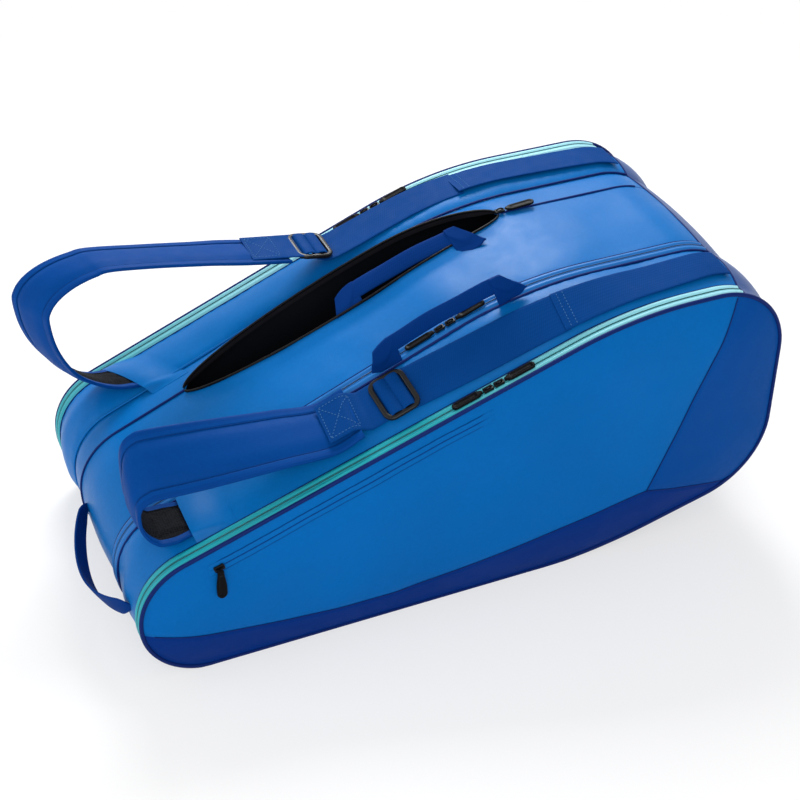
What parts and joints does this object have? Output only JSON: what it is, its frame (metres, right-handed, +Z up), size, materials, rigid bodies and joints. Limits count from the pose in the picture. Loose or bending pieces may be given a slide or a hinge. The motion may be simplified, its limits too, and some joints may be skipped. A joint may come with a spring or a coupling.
{
  "type": "racket tournament bag",
  "caption": "Long soft racket bag with a sloping top, zipped side compartments, a shoe compartment, padded shoulder straps, carry handles and a grab handle at the tail.",
  "frame": {"origin": "the middle of the flat base, on the floor", "axes": "+X runs along the bag from the narrow tail to the wide head, +Y from the near side to the far side, +Z up"},
  "size_m": [0.7833, 0.3955, 0.3614],
  "materials": {
    "mid_blue": "coated weave with a soft sheen",
    "deep_blue": "webbing and padded coated weave",
    "navy": "coated weave",
    "turquoise": "smooth zip tape",
    "lining": "mesh lining",
    "board": "plain sheet",
    "black_plastic": "moulded, satin"
  },
  "bodies": {
    "body": {"centre_top_gusset": "mid_blue", "centre_base_gusset": "deep_blue", "centre_base_board": "board", "centre_zip_far_tape": "mid_blue", "shoe_partition": "lining", "shoe_base_board": "board", "shoe_zip_teeth": "black_plastic", "far_top_gusset": "mid_blue", "far_base_gusset": "deep_blue", "far_partition": "deep_blue", "far_base_board": "board", "far_zip_inner_tape": "turquoise", "far_strap_band": "deep_blue", "far_strap_webbing": "deep_blue", "far_strap_root": "deep_blue"},
    "near_module": {"near_top_gusset": "mid_blue", "near_base_gusset": "deep_blue", "near_partition": "deep_blue", "near_base_board": "board", "near_zip_inner_tape": "turquoise", "centre_zip_near_tape": "mid_blue", "near_strap_band": "deep_blue", "near_strap_webbing": "deep_blue", "near_strap_root": "deep_blue"},
    "near_door": {"near_side_panel": "mid_blue", "near_head_patch": "deep_blue", "near_base_patch": "navy", "near_zip_outer_tape": "turquoise", "pocket_zip_tape": "mid_blue", "pocket_bag": "lining"},
    "far_door": {"far_side_panel": "mid_blue", "far_head_patch": "deep_blue", "far_base_patch": "navy", "far_zip_outer_tape": "turquoise"},
    "near_strap": {"near_strap_pad": "deep_blue", "near_strap_tab": "deep_blue", "near_strap_buckle": "black_plastic"},
    "far_strap": {"far_strap_pad": "deep_blue", "far_strap_tab": "deep_blue", "far_strap_buckle": "black_plastic"},
    "near_handle": {"near_handle": "deep_blue"},
    "far_handle": {"far_handle": "deep_blue"},
    "grab_handle": {"grab_handle": "deep_blue"},
    "near_tail_slider": {"near_tail_slider": "black_plastic"},
    "near_head_slider": {"near_head_slider": "black_plastic"},
    "far_tail_slider": {"far_tail_slider": "black_plastic"},
    "far_head_slider": {"far_head_slider": "black_plastic"},
    "centre_tail_slider": {"centre_tail_slider": "black_plastic"},
    "centre_head_slider": {"centre_head_slider": "black_plastic"},
    "shoe_slider": {"shoe_slider": "black_plastic"},
    "pocket_slider": {"pocket_slider": "black_plastic"},
    "near_tail_pull": {"near_tail_pull": "black_plastic"},
    "near_head_pull": {"near_head_pull": "black_plastic"},
    "far_tail_pull": {"far_tail_pull": "black_plastic"},
    "far_head_pull": {"far_head_pull": "black_plastic"},
    "centre_tail_pull": {"centre_tail_pull": "black_plastic"},
    "centre_head_pull": {"centre_head_pull": "black_plastic"},
    "shoe_pull": {"shoe_pull": "black_plastic"},
    "pocket_pull": {"pocket_pull": "black_plastic"}
  },
  "joints": [
    {"name": "near_module_open", "type": "hinge", "parent": "body", "child": "near_module", "pos_m": [0, -0.097, 0], "axis": [1, 0, 0], "range_deg": [0, 6]},
    {"name": "near_door_open", "type": "hinge", "parent": "near_module", "child": "near_door", "pos_m": [0, -0.184, 0], "axis": [1, 0, 0], "range_deg": [0, 45]},
    {"name": "far_door_open", "type": "hinge", "parent": "body", "child": "far_door", "pos_m": [0, 0.184, 0], "axis": [-1, 0, 0], "range_deg": [0, 45]},
    {"name": "near_strap_lift", "type": "hinge", "parent": "near_module", "child": "near_strap", "pos_m": [-0.368, -0.13, 0.20454], "axis": [0, -1, 0], "range_deg": [0, 35], "deforming": ["near_strap_webbing"]},
    {"name": "far_strap_lift", "type": "hinge", "parent": "body", "child": "far_strap", "pos_m": [-0.402, 0.13, 0.29], "axis": [0, -1, 0], "range_deg": [0, 20], "deforming": ["far_strap_webbing"]},
    {"name": "near_handle_swing", "type": "hinge", "parent": "near_module", "child": "near_handle", "pos_m": [0.01588, -0.0962, 0.29606], "axis": [0.9406, 0, 0.3396], "range_deg": [0, 50]},
    {"name": "far_handle_swing", "type": "hinge", "parent": "body", "child": "far_handle", "pos_m": [0.01574, 0.006, 0.29968], "axis": [0.9431, 0, 0.3326], "range_deg": [0, 110]},
    {"name": "grab_handle_swing", "type": "hinge", "parent": "body", "child": "grab_handle", "pos_m": [-0.3923, -0.058, 0.08], "axis": [0, 1, 0], "range_deg": [0, 60]},
    {"name": "near_tail_zip", "type": "slide", "parent": "near_module", "child": "near_tail_slider", "axis": [-0.9468, 0, -0.3217], "range_m": [0, 0.28]},
    {"name": "near_head_zip", "type": "slide", "parent": "near_module", "child": "near_head_slider", "axis": [0.9468, 0, 0.3217], "range_m": [0, 0.07]},
    {"name": "far_tail_zip", "type": "slide", "parent": "body", "child": "far_tail_slider", "axis": [-0.9261, 0, -0.3772], "range_m": [0, 0.28]},
    {"name": "far_head_zip", "type": "hinge", "parent": "body", "child": "far_head_slider", "pos_m": [0.19236, 0.175, -0.1132], "axis": [0, 1, 0], "range_deg": [0, 18]},
    {"name": "centre_tail_zip", "type": "slide", "parent": "body", "child": "centre_tail_slider", "axis": [-0.9218, 0, -0.3878], "range_m": [0, 0.27]},
    {"name": "centre_head_zip", "type": "hinge", "parent": "body", "child": "centre_head_slider", "pos_m": [0.18146, -0.085, -0.11241], "axis": [0, 1, 0], "range_deg": [0, 20]},
    {"name": "shoe_zip", "type": "hinge", "parent": "body", "child": "shoe_slider", "pos_m": [0.17602, 0.056, -0.11202], "axis": [0, -1, 0], "range_deg": [0, 16]},
    {"name": "pocket_zip", "type": "slide", "parent": "near_door", "child": "pocket_slider", "axis": [0.9468, 0, 0.3217], "range_m": [0, 0.29]},
    {"name": "near_tail_pull_turn", "type": "hinge", "parent": "near_tail_slider", "child": "near_tail_pull", "pos_m": [0.01257, -0.175, 0.26983], "axis": [0, 1, 0], "range_deg": [0, 100]},
    {"name": "near_head_pull_turn", "type": "hinge", "parent": "near_head_slider", "child": "near_head_pull", "pos_m": [0.03956, -0.175, 0.279], "axis": [0, -1, 0], "range_deg": [0, 100]},
    {"name": "far_tail_pull_turn", "type": "hinge", "parent": "far_tail_slider", "child": "far_tail_pull", "pos_m": [0.01257, 0.175, 0.29644], "axis": [0, 1, 0], "range_deg": [0, 100]},
    {"name": "far_head_pull_turn", "type": "hinge", "parent": "far_head_slider", "child": "far_head_pull", "pos_m": [0.03938, 0.175, 0.30692], "axis": [0, -1, 0], "range_deg": [0, 100]},
    {"name": "centre_tail_pull_turn", "type": "hinge", "parent": "centre_tail_slider", "child": "centre_tail_pull", "pos_m": [-0.00423, -0.085, 0.29463], "axis": [0, 1, 0], "range_deg": [0, 100]},
    {"name": "centre_head_pull_turn", "type": "hinge", "parent": "centre_head_slider", "child": "centre_head_pull", "pos_m": [0.02252, -0.085, 0.30546], "axis": [0, -1, 0], "range_deg": [0, 100]},
    {"name": "shoe_pull_turn", "type": "hinge", "parent": "shoe_slider", "child": "shoe_pull", "pos_m": [0.14836, 0.056, 0.33744], "axis": [0, -1, 0], "range_deg": [0, 100]},
    {"name": "pocket_pull_swing", "type": "hinge", "parent": "pocket_slider", "child": "pocket_pull", "pos_m": [-0.29344, -0.19817, 0.14278], "axis": [0, 1, 0], "range_deg": [-60, 60]}
  ]
}
